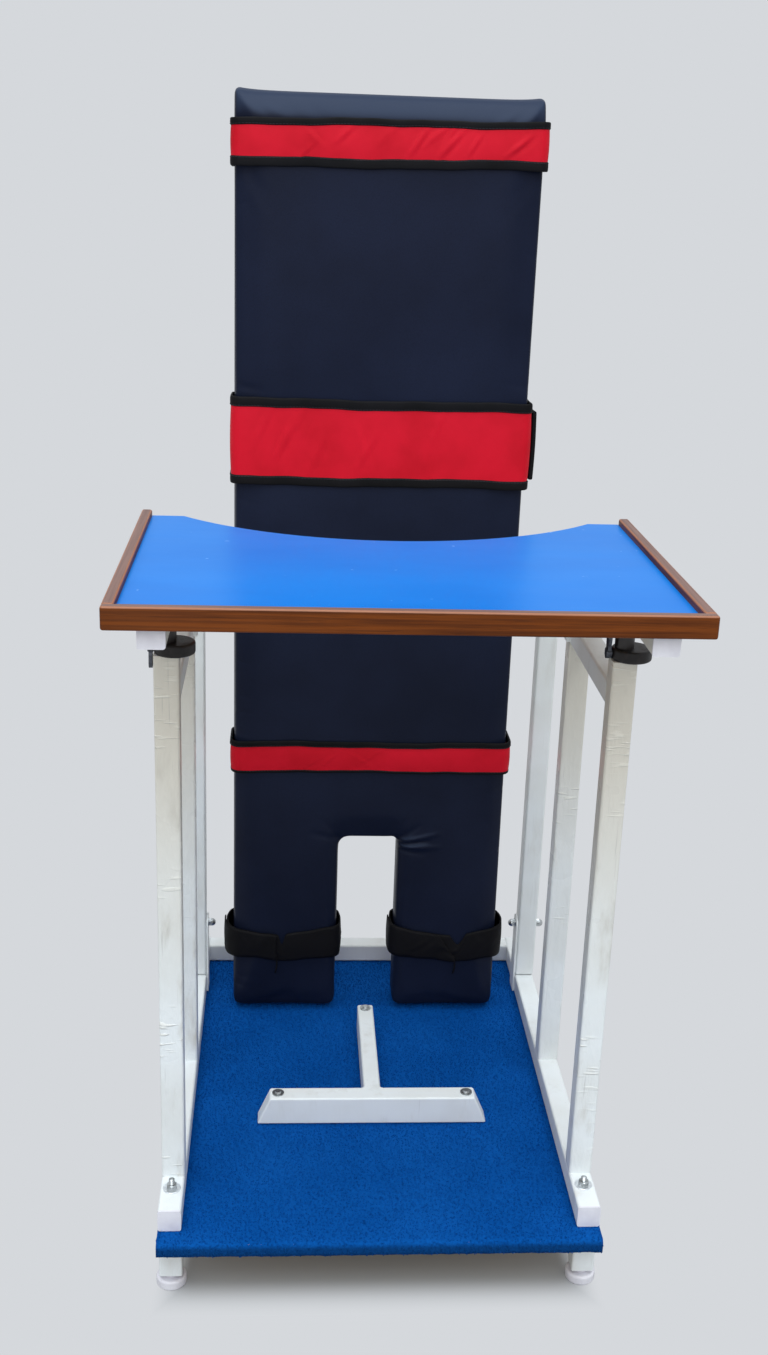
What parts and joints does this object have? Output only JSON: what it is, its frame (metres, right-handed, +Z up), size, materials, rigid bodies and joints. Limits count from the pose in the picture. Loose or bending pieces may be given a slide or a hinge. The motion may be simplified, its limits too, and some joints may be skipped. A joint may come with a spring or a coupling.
{
  "type": "standing frame with a padded back board and tray",
  "caption": "Static standing frame with a tall navy padded back board, red and black straps, a blue tray with wooden lips, white square-tube side frames and a carpeted base",
  "frame": {"origin": "on the floor, under the middle of the whole object's box", "axes": "+Z up; +Y towards the padded back board, away from the tray's front; +X to the right in the picture"},
  "size_m": [0.686, 0.895, 1.59],
  "materials": {
    "white_paint": "satin white paint",
    "white_plastic": "off-white moulded plastic",
    "plywood": "plain plywood",
    "blue_carpet": "short pile carpet",
    "navy_vinyl": "vinyl-coated fabric over foam, slight sheen",
    "red_fabric": "red coated fabric",
    "black_webbing": "black woven binding",
    "blue_laminate": "bright blue laminate, slight gloss",
    "brown_wood": "stained and varnished",
    "zinc_steel": "zinc plated",
    "black_plastic": "black moulded plastic"
  },
  "bodies": {
    "frame": {"base_board": "plywood", "base_carpet": "blue_carpet", "leg_stubs": "white_paint", "stub_inserts": "white_plastic", "left_bottom_rail": "white_paint", "right_bottom_rail": "white_paint", "rear_cross_rail": "white_paint", "tube_caps": "white_plastic", "front_left_upright": "white_paint", "front_right_upright": "white_paint", "middle_left_upright": "white_paint", "middle_right_upright": "white_paint", "left_top_rail": "white_paint", "right_top_rail": "white_paint", "leg_bushes": "white_plastic", "base_bolts": "zinc_steel", "base_nuts": "zinc_steel", "pivot_lugs": "white_paint", "pivot_bolts": "zinc_steel", "pivot_nuts": "zinc_steel", "stay_bars": "white_paint", "divider_bar": "white_paint", "divider_stem": "white_paint", "divider_screws": "zinc_steel", "locking_collars": "black_plastic"},
    "back": {"rear_left_upright": "white_paint", "rear_right_upright": "white_paint", "upper_cross_tube": "white_paint", "lower_cross_tube": "white_paint", "back_stiles": "white_paint", "back_caps": "white_plastic", "pad_board": "plywood", "pad_cushion": "navy_vinyl", "pad_screws": "zinc_steel", "chest_strap": "red_fabric", "chest_edging": "black_webbing", "waist_strap": "red_fabric", "waist_edging": "black_webbing", "waist_tab": "black_webbing", "knee_strap": "red_fabric", "knee_edging": "black_webbing", "left_ankle_strap": "black_webbing", "right_ankle_strap": "black_webbing"},
    "tray": {"tray_panel": "plywood", "tray_laminate": "blue_laminate", "front_lip": "brown_wood", "left_lip": "brown_wood", "right_lip": "brown_wood", "left_tray_support": "white_paint", "right_tray_support": "white_paint", "tray_caps": "white_plastic", "tray_screws": "zinc_steel"},
    "left_clamp_knob": {"left_clamp_knob": "black_plastic"},
    "right_clamp_knob": {"right_clamp_knob": "black_plastic"},
    "left_lock_screw": {"left_lock_screw": "zinc_steel"},
    "right_lock_screw": {"right_lock_screw": "zinc_steel"},
    "front_left_foot": {"front_left_foot": "white_plastic"},
    "front_right_foot": {"front_right_foot": "white_plastic"},
    "rear_left_foot": {"rear_left_foot": "white_plastic"},
    "rear_right_foot": {"rear_right_foot": "white_plastic"}
  },
  "joints": [
    {"name": "back_tilt", "type": "hinge", "parent": "frame", "child": "back", "pos_m": [0, 0.3245, 0.232], "axis": [-1, 0, 0], "range_deg": [0, 10]},
    {"name": "tray_lift", "type": "slide", "parent": "frame", "child": "tray", "axis": [0, 0, 1], "range_m": [-0.04, 0.1]},
    {"name": "left_clamp_turn", "type": "hinge", "parent": "back", "child": "left_clamp_knob", "pos_m": [-0.289, 0.3245, 0.856], "axis": [-1, 0, 0], "continuous": true},
    {"name": "left_lock_turn", "type": "hinge", "parent": "frame", "child": "left_lock_screw", "pos_m": [-0.289, -0.2295, 0.913], "axis": [-1, 0, 0], "continuous": true},
    {"name": "right_clamp_turn", "type": "hinge", "parent": "back", "child": "right_clamp_knob", "pos_m": [0.289, 0.3245, 0.856], "axis": [1, 0, 0], "continuous": true},
    {"name": "right_lock_turn", "type": "hinge", "parent": "frame", "child": "right_lock_screw", "pos_m": [0.289, -0.2295, 0.913], "axis": [-1, 0, 0], "continuous": true},
    {"name": "front_left_foot_turn", "type": "hinge", "parent": "frame", "child": "front_left_foot", "pos_m": [-0.289, -0.2965, 0.03], "axis": [0, 0, 1], "continuous": true},
    {"name": "front_right_foot_turn", "type": "hinge", "parent": "frame", "child": "front_right_foot", "pos_m": [0.289, -0.2965, 0.03], "axis": [0, 0, 1], "continuous": true},
    {"name": "rear_left_foot_turn", "type": "hinge", "parent": "frame", "child": "rear_left_foot", "pos_m": [-0.289, 0.3955, 0.03], "axis": [0, 0, 1], "continuous": true},
    {"name": "rear_right_foot_turn", "type": "hinge", "parent": "frame", "child": "rear_right_foot", "pos_m": [0.289, 0.3955, 0.03], "axis": [0, 0, 1], "continuous": true}
  ]
}
